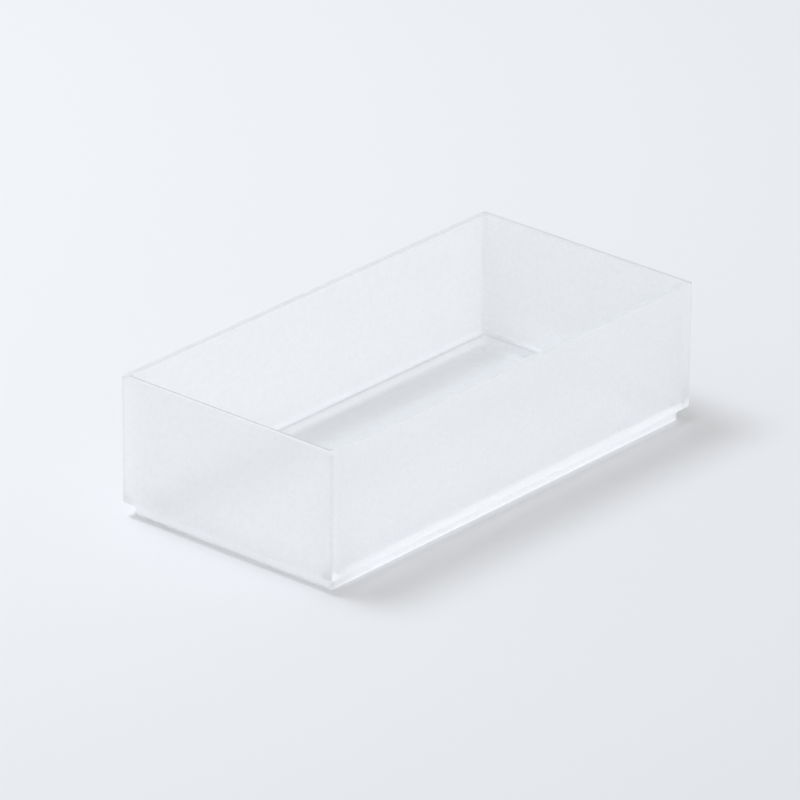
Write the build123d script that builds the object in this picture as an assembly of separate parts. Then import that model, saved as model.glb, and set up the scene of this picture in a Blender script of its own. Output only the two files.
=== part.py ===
from build123d import *
import os

# Open-topped stacking box for small parts, moulded in one piece from frosted polypropylene.
# Its base steps in all round to a foot, which drops inside the rim of a box like it below.
# Millimetres, +Z up, length along X. The origin is the middle of the foot's underside.

# Outside of the box, measured at the rim
length = 150.0
width = 75.0
height = 41.4

# Plastic thickness
wall = 1.8
ledge_thickness = 2.1
floor_thickness = 2.1

# Foot, and the gap left on each side of it when it stands in a rim
foot_height = 4.0
stack_clearance = 0.3

# Upright corners, seen from above
corner_radius = 0.4
foot_corner_radius = 1.1
hollow_corner_radius = 1.3
well_corner_radius = 2.2

# Lean of the moulded walls, in degrees, which lets the box leave its mould
wall_draft = 0.1
foot_draft = 1.0

# Rounding of the edges that run round the box
rim_edge_radius = 0.25
step_edge_radius = 0.25
step_root_radius = 0.3
foot_edge_radius = 0.9
ledge_root_radius = 0.6
ledge_edge_radius = 0.5
floor_root_radius = 1.9

# Shallow dish under the floor, with the pip where the plastic entered the mould
gate_dish_radius = 6.0
gate_dish_depth = 0.6
gate_pip_root_radius = 0.9
gate_pip_tip_radius = 0.6
gate_pip_clearance = 0.15

# Openings and levels that follow from the sizes above
hollow_length = length - 2 * wall
hollow_width = width - 2 * wall
foot_length = hollow_length - 2 * stack_clearance
foot_width = hollow_width - 2 * stack_clearance
well_length = foot_length - 2 * wall
well_width = foot_width - 2 * wall
ledge_level = foot_height + ledge_thickness

# How far a face may lie from a level and still be found there
level_tolerance = 0.01


def drafted_block(size_x, size_y, corner, top, bottom, draft):
    """Block with rounded upright corners, which narrows by its draft on the way down."""
    outline = Plane.XY.offset(top) * RectangleRounded(size_x, size_y, corner)
    return extrude(outline, amount=top - bottom, dir=(0, 0, -1), taper=draft)


def flat_face_at(shape, level):
    """The largest flat face that lies at one level."""
    flat = shape.faces().filter_by(Axis.Z)
    near = flat.filter_by_position(Axis.Z, level - level_tolerance, level + level_tolerance)
    return near.sort_by(SortBy.AREA)[-1]


def round_outer_border(shape, level, radius):
    """Rounds the outer border of the flat face at one level."""
    return shape.fillet(radius, flat_face_at(shape, level).outer_wire().edges())


def round_inner_border(shape, level, radius):
    """Rounds the inner border of the ring-shaped flat face at one level."""
    return shape.fillet(radius, flat_face_at(shape, level).inner_wires()[0].edges())


def outer_form():
    """Walls down to the step, and the narrower foot below it, still solid inside."""
    body = drafted_block(length, width, corner_radius, height, foot_height, wall_draft)
    foot = drafted_block(foot_length, foot_width, foot_corner_radius, foot_height, 0, foot_draft)
    form = body + foot
    form = round_outer_border(form, foot_height, step_edge_radius)
    form = round_inner_border(form, foot_height, step_root_radius)
    return round_outer_border(form, 0, foot_edge_radius)


def hollow_form():
    """Space inside the walls, from the rim down to the ledge above the step."""
    corner = hollow_corner_radius
    return drafted_block(hollow_length, hollow_width, corner, height, ledge_level, wall_draft)


def well_form():
    """Space inside the foot, from the ledge down to the floor."""
    corner = well_corner_radius
    return drafted_block(well_length, well_width, corner, ledge_level, floor_thickness, foot_draft)


def gate_dish():
    """Shallow round hollow that keeps the gate mark clear of the table."""
    ball_radius = (gate_dish_radius**2 + gate_dish_depth**2) / (2 * gate_dish_depth)
    return Pos(0, 0, gate_dish_depth - ball_radius) * Sphere(ball_radius)


def gate_pip():
    """Broken-off stub of the gate. Its root is buried in the floor, its tip stays above the table."""
    root_level = (floor_thickness + gate_dish_depth) / 2
    pip_height = root_level - gate_pip_clearance
    stub = Cone(gate_pip_tip_radius, gate_pip_root_radius, pip_height)
    return Pos(0, 0, gate_pip_clearance + pip_height / 2) * stub


def box_body():
    """The whole box: an outer form with a stepped hollow that follows it inside."""
    box = outer_form() - hollow_form() - well_form()
    box = round_inner_border(box, ledge_level, ledge_edge_radius)
    box = round_outer_border(box, ledge_level, ledge_root_radius)
    box = round_outer_border(box, floor_thickness, floor_root_radius)
    box = round_inner_border(box, height, rim_edge_radius)
    box = round_outer_border(box, height, rim_edge_radius)
    return box - gate_dish() + gate_pip()


os.makedirs("parts", exist_ok=True)
export_step(box_body(), "parts/box_body.step")
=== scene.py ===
import math
import bpy
from mathutils import Matrix, Vector


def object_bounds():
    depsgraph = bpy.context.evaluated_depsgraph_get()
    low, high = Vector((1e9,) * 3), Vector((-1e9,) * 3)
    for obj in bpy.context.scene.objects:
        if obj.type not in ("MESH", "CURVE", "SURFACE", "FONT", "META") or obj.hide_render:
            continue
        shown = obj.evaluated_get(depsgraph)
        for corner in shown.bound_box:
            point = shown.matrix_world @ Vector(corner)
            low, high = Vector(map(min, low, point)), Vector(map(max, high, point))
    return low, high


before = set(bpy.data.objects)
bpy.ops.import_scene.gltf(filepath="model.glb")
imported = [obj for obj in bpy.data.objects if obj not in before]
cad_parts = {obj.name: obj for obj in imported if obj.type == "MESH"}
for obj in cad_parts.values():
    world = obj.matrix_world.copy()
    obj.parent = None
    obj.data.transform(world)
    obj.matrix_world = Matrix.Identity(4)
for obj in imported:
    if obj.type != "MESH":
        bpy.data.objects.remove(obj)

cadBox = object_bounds()
print("frame loaded:", ", ".join(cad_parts))

millimetres = 1000       # in one metre


def linearColour(hexText):
    # sRGB hex, as read off a colour card, to the linear values that shaders and lamps take
    parts = [int(hexText[at:at + 2], 16) / 255 for at in (1, 3, 5)]
    return [part / 12.92 if part <= 0.04045 else ((part + 0.055) / 1.055) ** 2.4 for part in parts]


def addNode(tree, kind, settings=None, **sockets):
    # settings are the node's own properties. A socket is named by its label, or as i0, i1, ... by its
    # place, and gets a plain value or another node's output
    node = tree.nodes.new(kind)
    for name, value in (settings or {}).items():
        setattr(node, name, value)
    for name, value in sockets.items():
        byPlace = name[1:].isdigit()
        socket = node.inputs[int(name[1:])] if byPlace else node.inputs[name.replace("_", " ")]
        if isinstance(value, bpy.types.NodeSocket):
            tree.links.new(value, socket)
        else:
            socket.default_value = value
    return node


def emptyMaterial(name):
    material = bpy.data.materials.new(name)
    material.use_nodes = True
    material.node_tree.nodes.clear()
    return material, material.node_tree


# The camera stands about two metres away with a long lens, so the box shows hardly any perspective.
# Angles are degrees, lens and sensor millimetres, and distance, reach and target metres. reach is how
# far the camera sees. targetPixel is where target, about the middle of the box, falls in an image that
# is imageSize pixels wide and high
cameraSetup = {
    "azimuth": -49.383,
    "elevation": 24.529,
    "roll": 0.456,
    "distance": 2.174,
    "reach": 50.0,
    "lens": 359.7,
    "sensor": 36.0,
    "imageSize": 800,
    "target": (0.0, 0.0, 0.0209),
    "targetPixel": (409.827, 396.66),
}


def makeCamera(setup):
    azimuth = math.radians(setup["azimuth"])
    elevation = math.radians(setup["elevation"])
    roll = math.radians(setup["roll"])
    back = Vector((
        math.sin(azimuth) * math.cos(elevation),
        -math.cos(azimuth) * math.cos(elevation),
        math.sin(elevation),
    ))
    level = Vector((math.cos(azimuth), math.sin(azimuth), 0))
    upright = back.cross(level)
    right = math.cos(roll) * level + math.sin(roll) * upright
    up = math.cos(roll) * upright - math.sin(roll) * level
    # a small move aside brings target onto its pixel, with the camera's direction kept
    middle = (setup["imageSize"] - 1) / 2
    pixelLens = setup["lens"] * setup["imageSize"] / setup["sensor"]
    aside = (setup["targetPixel"][0] - middle) / pixelLens
    below = (setup["targetPixel"][1] - middle) / pixelLens
    eye = Vector(setup["target"]) + setup["distance"] * (back - aside * right + below * up)
    data = bpy.data.cameras.new("productCamera")
    data.lens = setup["lens"]
    data.sensor_width = setup["sensor"]
    data.clip_end = setup["reach"]
    camera = bpy.data.objects.new("productCamera", data)
    bpy.context.collection.objects.link(camera)
    camera.matrix_world = Matrix((
        (right.x, up.x, back.x, eye.x),
        (right.y, up.y, back.y, eye.y),
        (right.z, up.z, back.z, eye.z),
        (0, 0, 0, 1),
    ))
    bpy.context.scene.camera = camera


makeCamera(cameraSetup)
print("camera placed")

# A white room, a little brighter towards the window side, with one softbox above and behind the box.
# lean says how much brighter the room is towards +X, +Y and +Z, as a share of its strength.
# flux is what the lamp adds to a white sheet that lies at the origin, where 1 would show as pure white
roomSetup = {"strength": 0.829, "lean": (-0.220, 0.288, -0.180), "colour": "#FFFFFF"}
softboxSetup = {"place": (-0.160, 0.395, 1.050), "size": (0.44, 0.42), "flux": 0.400, "colour": "#EBF4FF"}


def makeRoom(setup):
    world = bpy.data.worlds.new("whiteRoom")
    bpy.context.scene.world = world
    world.use_nodes = True
    tree = world.node_tree
    tree.nodes.clear()
    direction = addNode(tree, "ShaderNodeTexCoord").outputs["Generated"]
    lean = addNode(tree, "ShaderNodeVectorMath", {"operation": "DOT_PRODUCT"},
                   i0=direction, i1=setup["lean"]).outputs["Value"]
    strength = addNode(tree, "ShaderNodeMath", {"operation": "MULTIPLY_ADD"},
                       i0=lean, i1=setup["strength"], i2=setup["strength"]).outputs[0]
    room = addNode(tree, "ShaderNodeBackground",
                   Color=(*linearColour(setup["colour"]), 1), Strength=strength)
    addNode(tree, "ShaderNodeOutputWorld", Surface=room.outputs[0])


def makeSoftbox(setup):
    place = Vector(setup["place"])
    data = bpy.data.lights.new("keySoftbox", "AREA")
    data.shape = "RECTANGLE"
    data.size, data.size_y = setup["size"]
    # the lamp faces the origin, and a flat sheet there sees it at a slant. Each of the two spreads its
    # light over a half sphere, which brings in pi twice
    data.energy = setup["flux"] * math.pi ** 2 * place.length_squared * place.length / place.z
    data.color = linearColour(setup["colour"])
    lamp = bpy.data.objects.new("keySoftbox", data)
    bpy.context.collection.objects.link(lamp)
    lamp.location = place
    lamp.rotation_euler = place.to_track_quat("Z", "Y").to_euler()


makeRoom(roomSetup)
makeSoftbox(softboxSetup)
print("lights placed")

# The lean of the card's colour is painted light: it says how much paler the card is painted per metre
# towards +X and +Y, as a share of its colour, standing in for light that falls off across the table, and
# the limit after it how far that may go. The top lies a hair below the foot, because light slips through
# where two faces lie in one plane
tableSetup = {
    "size": 6.0,
    "level": -0.00005,
    "colour": "#E6E6E7",
    "paintedLightLean": (0.040, 0.120),
    "paintedLightLimit": 0.2,
    "roughness": 0.8,
    "specular": 0.2,
}


def makeCard(setup):
    # Matt coated card: a pale grey with hardly any shine, painted paler towards +X and +Y as painted light
    material, tree = emptyMaterial("mattCoatedCard")
    limit = setup["paintedLightLimit"]
    place = addNode(tree, "ShaderNodeTexCoord").outputs["Object"]
    lean = addNode(tree, "ShaderNodeVectorMath", {"operation": "DOT_PRODUCT"},
                   i0=place, i1=(*setup["paintedLightLean"], 0)).outputs["Value"]
    tone = addNode(tree, "ShaderNodeMapRange",
                   i0=lean, i1=-limit, i2=limit, i3=1 - limit, i4=1 + limit).outputs[0]
    colour = addNode(tree, "ShaderNodeVectorMath", {"operation": "SCALE"},
                     i0=linearColour(setup["colour"]), Scale=tone).outputs[0]
    shader = addNode(tree, "ShaderNodeBsdfPrincipled", Base_Color=colour,
                     Roughness=setup["roughness"], Specular_IOR_Level=setup["specular"])
    addNode(tree, "ShaderNodeOutputMaterial", Surface=shader.outputs[0])
    return material


def makeTable(setup):
    half, level = setup["size"] / 2, setup["level"]
    corners = [(side * half, end * half, level) for side, end in ((-1, -1), (1, -1), (1, 1), (-1, 1))]
    mesh = bpy.data.meshes.new("tableTop")
    mesh.from_pydata(corners, [], [(0, 1, 2, 3)])
    table = bpy.data.objects.new("tableTop", mesh)
    bpy.context.collection.objects.link(table)
    mesh.materials.append(makeCard(setup))


makeTable(tableSetup)
print("table made")

# From here on, all lengths are millimetres. The outer walls and the rim's level come from the frame.
# The four pairs are the levels between which the zones of the ledge and of the rim lie
halfLength, halfWidth, rimLevel = [side * millimetres for side in cadBox[1]]
ledgeLevel = 6.1
ledgeTop = (ledgeLevel - 0.3, ledgeLevel + 0.3)
ledgeRound = (ledgeLevel - 0.55, ledgeLevel + 0.1)
rimTop = (rimLevel - 0.15, rimLevel + 1.0)
rimRound = (rimLevel - 0.3, rimLevel + 1.0)

# surface is the share of light that the skin turns back, clear the share of the rest that passes as
# blurred sight, and tone a plain factor on the colours; where a zone's tone is not 1, it is painted light
# or painted shade. A zone lies between two distances in from the outer walls and between two levels, and
# soft is the width of its border. A later zone lies over an earlier one. The plastic looks denser where a
# wall meets the ledge or the foot, because it is thicker there. around says which distance is meant. ring
# is that to the nearest wall, long that to a long wall, short that to an end, back that to the +Y wall and
# farEnd that to the +X wall. corner is the larger of long and short, and cornerBack that of back and
# short. far is how far from the middle of the wall a point would lie once moved by farShift, which finds
# the rim's edge that turns from the front, where the rim gets painted shade
plasticSetup = {
    "colour": "#FBFDFF",
    "glow": "#FDFDFD",
    "wallThickness": 1.8,
    "wall": {"surface": 0.34, "clear": 0.48, "tone": 1.0},
    "zones": {
        # upright corners: all four, and those of the back wall, which are also painted a little lighter as
        # painted light
        "cornerWide": {"around": "corner", "inset": (-1.0, 5.0), "level": (4.2, rimLevel), "soft": 9.0,
                       "surface": 0.40, "clear": 0.45, "tone": 1.0},
        "cornerBack": {"around": "cornerBack", "inset": (-1.0, 5.0), "level": (4.2, rimLevel), "soft": 9.0,
                       "surface": 0.52, "clear": 0.45, "tone": 1.015},
        # lower third of the ends, of the long walls and of the far end, and the ends' lowest strip
        "endLow": {"around": "short", "inset": (-1.0, 3.0), "level": (-1.0, 12.0), "soft": 9.0,
                   "surface": 0.39, "clear": 0.45, "tone": 1.0},
        "sideLow": {"around": "long", "inset": (-1.0, 3.0), "level": (-1.0, 12.0), "soft": 9.0,
                    "surface": 0.36, "clear": 0.45, "tone": 1.0},
        # painted light: the lower part of the +X end is also painted a little lighter
        "farEndLow": {"around": "farEnd", "inset": (-1.0, 3.5), "level": (5.0, 13.0), "soft": 8.0,
                      "surface": 0.65, "clear": 0.4, "tone": 1.02},
        "endBand": {"around": "short", "inset": (-0.6, 0.6), "level": (4.1, 6.1), "soft": 0.6,
                    "surface": 0.42, "clear": 0.2, "tone": 1.0},
        # the narrow outer edge of each upright corner, painted a little darker as painted shade
        "corner": {"around": "corner", "inset": (-1.0, 0.9), "level": (4.2, rimLevel - 0.4), "soft": 0.8,
                   "surface": 0.36, "clear": 0.40, "tone": 0.96},
        # well: floor and sides, then the floor's strip along the back, painted a little lighter as painted
        # light against the back wall's shade, and the side that rises there
        "well": {"around": "ring", "inset": (3.7, 80.0), "level": (1.5, ledgeLevel), "soft": 0.3,
                 "surface": 0.53, "clear": 0.19, "tone": 1.0},
        "wellBack": {"around": "back", "inset": (3.7, 17.0), "level": (1.5, 3.0), "soft": 7.0,
                     "surface": 0.90, "clear": 0.2, "tone": 1.02},
        "wellWall": {"around": "back", "inset": (3.6, 5.2), "level": (3.3, 5.3), "soft": 1.4,
                     "surface": 0.25, "clear": 0.6, "tone": 1.0},
        # foot: the long sides with the strip of wall above them, and the ends, each with its rounded
        # lower edge, and last the underside of the step at the ends
        "foot": {"around": "long", "inset": (-1.0, 3.3), "level": (-1.0, 6.6), "soft": 1.6,
                 "surface": 0.14, "clear": 0.0, "tone": 1.0},
        "footEdge": {"around": "long", "inset": (1.9, 3.3), "level": (-0.1, 0.9), "soft": 0.3,
                     "surface": 0.04, "clear": 0.0, "tone": 1.0},
        # painted light: the foot's face at the ends is painted a little lighter
        "footEnd": {"around": "short", "inset": (1.0, 3.4), "level": (0.9, 3.9), "soft": 0.4,
                    "surface": 0.95, "clear": 0.0, "tone": 1.02},
        # painted shade: the rounded lower edge of the foot at the ends is painted a little darker where it
        # meets the table
        "footEndEdge": {"around": "short", "inset": (1.9, 3.3), "level": (-0.1, 0.75), "soft": 0.3,
                        "surface": 0.2, "clear": 0.0, "tone": 0.98},
        # painted shade: the underside of the step at the ends is painted darker where it overhangs the
        # table
        "footUnderEnd": {"around": "short", "inset": (0.3, 2.0), "level": (3.95, 4.1), "soft": 0.1,
                         "surface": 0.60, "clear": 0.0, "tone": 0.82},
        # ledge: clear along the long walls and painted a little lighter there as painted light, denser and
        # painted a little darker at the ends, with a rounded edge painted darker as painted shade
        "ledge": {"around": "ring", "inset": (1.85, 3.45), "level": ledgeTop, "soft": 0.2,
                  "surface": 0.01, "clear": 0.8, "tone": 1.02},
        "ledgeEnd": {"around": "short", "inset": (1.85, 3.45), "level": ledgeTop, "soft": 0.2,
                     "surface": 0.65, "clear": 0.3, "tone": 0.98},
        "ledgeEdge": {"around": "ring", "inset": (3.5, 4.1), "level": ledgeRound, "soft": 0.15,
                      "surface": 0.4, "clear": 0.3, "tone": 0.9},
        # rim: its flat top, with painted shade that makes it a little darker on the back wall, and darkest
        # where it turns from the front
        "rim": {"around": "ring", "inset": (-1.0, 2.4), "level": rimTop, "soft": 0.15,
                "surface": 0.12, "clear": 0.0, "tone": 1.0},
        "rimBack": {"around": "back", "inset": (-1.0, 2.4), "level": rimRound, "soft": 0.15,
                    "surface": 0.12, "clear": 0.0, "tone": 0.93},
        "rimFarEdge": {"around": "far", "inset": (0.9, 80.0), "level": rimRound, "soft": 0.1,
                       "surface": 0.12, "clear": 0.0, "tone": 0.80},
    },
    "farShift": (0.8, 0.12),
    "ior": 1.49,
    "roughness": 0.45,
    "blur": 0.5,
    "blurIor": 1.2,      # below ior, because the two faces of a thin wall nearly undo each other's bend
    # painted shade: the tone is painted darker towards the +X end and lighter towards the rim
    "paintedEndShade": -0.018,   # change of tone from the -X end to the +X end
    "paintedHeightShade": 0.011,   # and from the foot to the rim
    "grain": {"size": 1.3, "detail": 3.0, "roughness": 0.85, "range": (0.3, 0.7),
              "tone": 0.16, "depth": 0.01, "shine": 0.08},
    "cloud": {"size": 22.0, "detail": 1.0, "tone": 0.008},
    "speck": {"spacing": 11.0, "share": 0.12, "size": 0.35, "edge": (0.5, 1.5), "tone": 0.86},
}


def insetFrom(tree, place, shift):
    # how far in from the ends, and from the long walls, a point would lie once moved by shift
    outside = (halfLength, halfWidth, 0)
    moved = addNode(tree, "ShaderNodeVectorMath", {"operation": "ADD"}, i0=place, i1=(*shift, 0)).outputs[0]
    moved = addNode(tree, "ShaderNodeVectorMath", {"operation": "ABSOLUTE"}, i0=moved).outputs[0]
    moved = addNode(tree, "ShaderNodeVectorMath", {"operation": "SUBTRACT"},
                    i0=outside, i1=moved).outputs[0]
    inset = addNode(tree, "ShaderNodeSeparateXYZ", i0=moved).outputs
    return inset[0], inset[1]


def wallDistances(tree, place, axes, setup):
    # every distance that a zone may go by, each as a vector with the level as its second part
    fromEnd, fromSide = insetFrom(tree, place, (0, 0))
    nearest = addNode(tree, "ShaderNodeMath", {"operation": "MINIMUM"}, i0=fromEnd, i1=fromSide).outputs[0]
    corner = addNode(tree, "ShaderNodeMath", {"operation": "MAXIMUM"}, i0=fromEnd, i1=fromSide).outputs[0]
    back = addNode(tree, "ShaderNodeMath", {"operation": "SUBTRACT"}, i0=halfWidth, i1=axes[1]).outputs[0]
    farEnd = addNode(tree, "ShaderNodeMath", {"operation": "SUBTRACT"},
                     i0=halfLength, i1=axes[0]).outputs[0]
    cornerBack = addNode(tree, "ShaderNodeMath", {"operation": "MAXIMUM"}, i0=fromEnd, i1=back).outputs[0]
    movedEnd, movedSide = insetFrom(tree, place, setup["farShift"])
    far = addNode(tree, "ShaderNodeMath", {"operation": "MINIMUM"}, i0=movedEnd, i1=movedSide).outputs[0]
    far = addNode(tree, "ShaderNodeMath", {"operation": "SUBTRACT"},
                  i0=far, i1=setup["wallThickness"] / 2).outputs[0]
    far = addNode(tree, "ShaderNodeMath", {"operation": "ABSOLUTE"}, i0=far).outputs[0]
    distances = {"ring": nearest, "long": fromSide, "short": fromEnd, "corner": corner,
                 "far": far, "back": back, "cornerBack": cornerBack, "farEnd": farEnd}
    around = {}
    for name, distance in distances.items():
        around[name] = addNode(tree, "ShaderNodeCombineXYZ", i0=distance, i1=axes[2]).outputs[0]
    return around


def layZones(tree, around, setup):
    # surface, clear and tone in one vector: those of the plain wall, with each zone laid over them
    shares = ("surface", "clear", "tone")
    finish = [setup["wall"][name] for name in shares]
    for zone in setup["zones"].values():
        spans = (zone["inset"], zone["level"])
        middle = [(low + high) / 2 for low, high in spans]
        half = [(high - low) / 2 for low, high in spans]
        off = addNode(tree, "ShaderNodeVectorMath", {"operation": "SUBTRACT"},
                      i0=around[zone["around"]], i1=(*middle, 0)).outputs[0]
        off = addNode(tree, "ShaderNodeVectorMath", {"operation": "ABSOLUTE"}, i0=off).outputs[0]
        off = addNode(tree, "ShaderNodeVectorMath", {"operation": "SUBTRACT"},
                      i0=off, i1=(*half, 0)).outputs[0]
        off = addNode(tree, "ShaderNodeSeparateXYZ", i0=off).outputs
        off = addNode(tree, "ShaderNodeMath", {"operation": "MAXIMUM"}, i0=off[0], i1=off[1]).outputs[0]
        inZone = addNode(tree, "ShaderNodeMapRange", {"interpolation_type": "SMOOTHSTEP"}, i0=off,
                         i1=-zone["soft"] / 2, i2=zone["soft"] / 2, i3=1.0, i4=0.0).outputs[0]
        finish = addNode(tree, "ShaderNodeMix", {"data_type": "VECTOR"}, i0=inZone, i4=finish,
                         i5=[zone[name] for name in shares]).outputs[1]
    return addNode(tree, "ShaderNodeSeparateXYZ", i0=finish).outputs


def mouldGrain(tree, place, setup):
    # The eroded pits are about 0.05 mm wide. They are drawn coarser, or a render would not show them
    grain = setup["grain"]
    noise = addNode(tree, "ShaderNodeTexNoise", Vector=place, Scale=1 / grain["size"],
                    Detail=grain["detail"], Roughness=grain["roughness"]).outputs[0]
    bump = addNode(tree, "ShaderNodeBump", Strength=1.0,
                   Distance=grain["depth"] / millimetres, Height=noise).outputs[0]
    low, high = grain["range"]
    shine = addNode(tree, "ShaderNodeMapRange", i0=noise, i1=low, i2=high,
                    i3=setup["roughness"] - grain["shine"],
                    i4=setup["roughness"] + grain["shine"]).outputs[0]
    tone = addNode(tree, "ShaderNodeMath", {"operation": "MULTIPLY_ADD"},
                   i0=noise, i1=grain["tone"], i2=1 - grain["tone"] / 2).outputs[0]
    return bump, shine, tone


def addCloudingAndPaintedShade(tree, tone, place, axes, setup):
    # Slow changes of tone over a couple of centimetres, from uneven cooling, and painted shade: a slight
    # slope of tone from end to end, darker towards +X, and from the foot to the rim, lighter towards the
    # rim
    cloud = setup["cloud"]
    noise = addNode(tree, "ShaderNodeTexNoise",
                    Vector=place, Scale=1 / cloud["size"], Detail=cloud["detail"]).outputs[0]
    changes = (
        (noise, cloud["tone"], -cloud["tone"] / 2),
        (axes[0], setup["paintedEndShade"] / (2 * halfLength), setup["paintedEndShade"] / 2),
        (axes[2], setup["paintedHeightShade"] / rimLevel, -setup["paintedHeightShade"] / 2),
    )
    for source, factor, start in changes:
        change = addNode(tree, "ShaderNodeMath", {"operation": "MULTIPLY_ADD"},
                         i0=source, i1=factor, i2=start).outputs[0]
        tone = addNode(tree, "ShaderNodeMath", {"operation": "ADD"}, i0=tone, i1=change).outputs[0]
    return tone


def speckTone(tree, place, setup):
    # Tiny grains of burnt plastic and dust under the skin, one in some of the cells of a pattern
    cells = addNode(tree, "ShaderNodeTexVoronoi", Vector=place, Scale=1 / setup["spacing"]).outputs
    inner, outer = [edge * setup["size"] / setup["spacing"] for edge in setup["edge"]]
    near = addNode(tree, "ShaderNodeMapRange", {"interpolation_type": "SMOOTHSTEP"},
                   i0=cells["Distance"], i1=inner, i2=outer, i3=1.0, i4=0.0).outputs[0]
    chance = addNode(tree, "ShaderNodeSeparateXYZ", i0=cells["Color"]).outputs[0]
    chosen = addNode(tree, "ShaderNodeMath", {"operation": "LESS_THAN"},
                     i0=chance, i1=setup["share"]).outputs[0]
    speck = addNode(tree, "ShaderNodeMath", {"operation": "MULTIPLY"}, i0=near, i1=chosen).outputs[0]
    return addNode(tree, "ShaderNodeMath", {"operation": "MULTIPLY_ADD"},
                   i0=speck, i1=setup["tone"] - 1, i2=1.0).outputs[0]


def makePlastic(setup):
    # Frosted polypropylene, moulded against a spark-eroded steel mould. To the eye it is a milky pale
    # sheet: a soft shine, no clear reflection, light comes through it and nothing behind it stays sharp
    material, tree = emptyMaterial("mouldedFrostedPolypropylene")
    place = addNode(tree, "ShaderNodeTexCoord").outputs["Object"]
    place = addNode(tree, "ShaderNodeVectorMath", {"operation": "SCALE"},
                    i0=place, Scale=millimetres).outputs[0]
    axes = addNode(tree, "ShaderNodeSeparateXYZ", i0=place).outputs
    around = wallDistances(tree, place, axes, setup)
    surface, clear, zoneTone = layZones(tree, around, setup)
    bump, shine, tone = mouldGrain(tree, place, setup)
    tone = addCloudingAndPaintedShade(tree, tone, place, axes, setup)
    for factor in (speckTone(tree, place, setup["speck"]), zoneTone):
        tone = addNode(tree, "ShaderNodeMath", {"operation": "MULTIPLY"}, i0=tone, i1=factor).outputs[0]
    colour = addNode(tree, "ShaderNodeVectorMath", {"operation": "SCALE"},
                     i0=linearColour(setup["colour"]), Scale=tone).outputs[0]
    glow = addNode(tree, "ShaderNodeVectorMath", {"operation": "SCALE"},
                   i0=linearColour(setup["glow"]), Scale=tone).outputs[0]

    skin = addNode(tree, "ShaderNodeBsdfPrincipled",
                   Base_Color=colour, Roughness=shine, IOR=setup["ior"], Normal=bump)
    milk = addNode(tree, "ShaderNodeBsdfTranslucent", Color=glow, Normal=bump)
    sight = addNode(tree, "ShaderNodeBsdfRefraction",
                    Color=glow, Roughness=setup["blur"], IOR=setup["blurIor"], Normal=bump)
    passing = addNode(tree, "ShaderNodeMixShader", i0=clear, i1=milk.outputs[0], i2=sight.outputs[0])
    sheet = addNode(tree, "ShaderNodeMixShader", i0=surface, i1=passing.outputs[0], i2=skin.outputs[0])
    # light that is already in the plastic leaves it freely, so a wall dims it once and not twice
    within = addNode(tree, "ShaderNodeNewGeometry").outputs["Backfacing"]
    leaving = addNode(tree, "ShaderNodeBsdfTransparent", Color=(1, 1, 1, 1))
    whole = addNode(tree, "ShaderNodeMixShader", i0=within, i1=sheet.outputs[0], i2=leaving.outputs[0])
    addNode(tree, "ShaderNodeOutputMaterial", Surface=whole.outputs[0])
    return material


def dressBox():
    plastic = makePlastic(plasticSetup)
    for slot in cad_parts["box_body"].material_slots:
        slot.material = plastic


dressBox()
print("plastic made")

bpy.context.scene.view_settings.view_transform = "Standard"
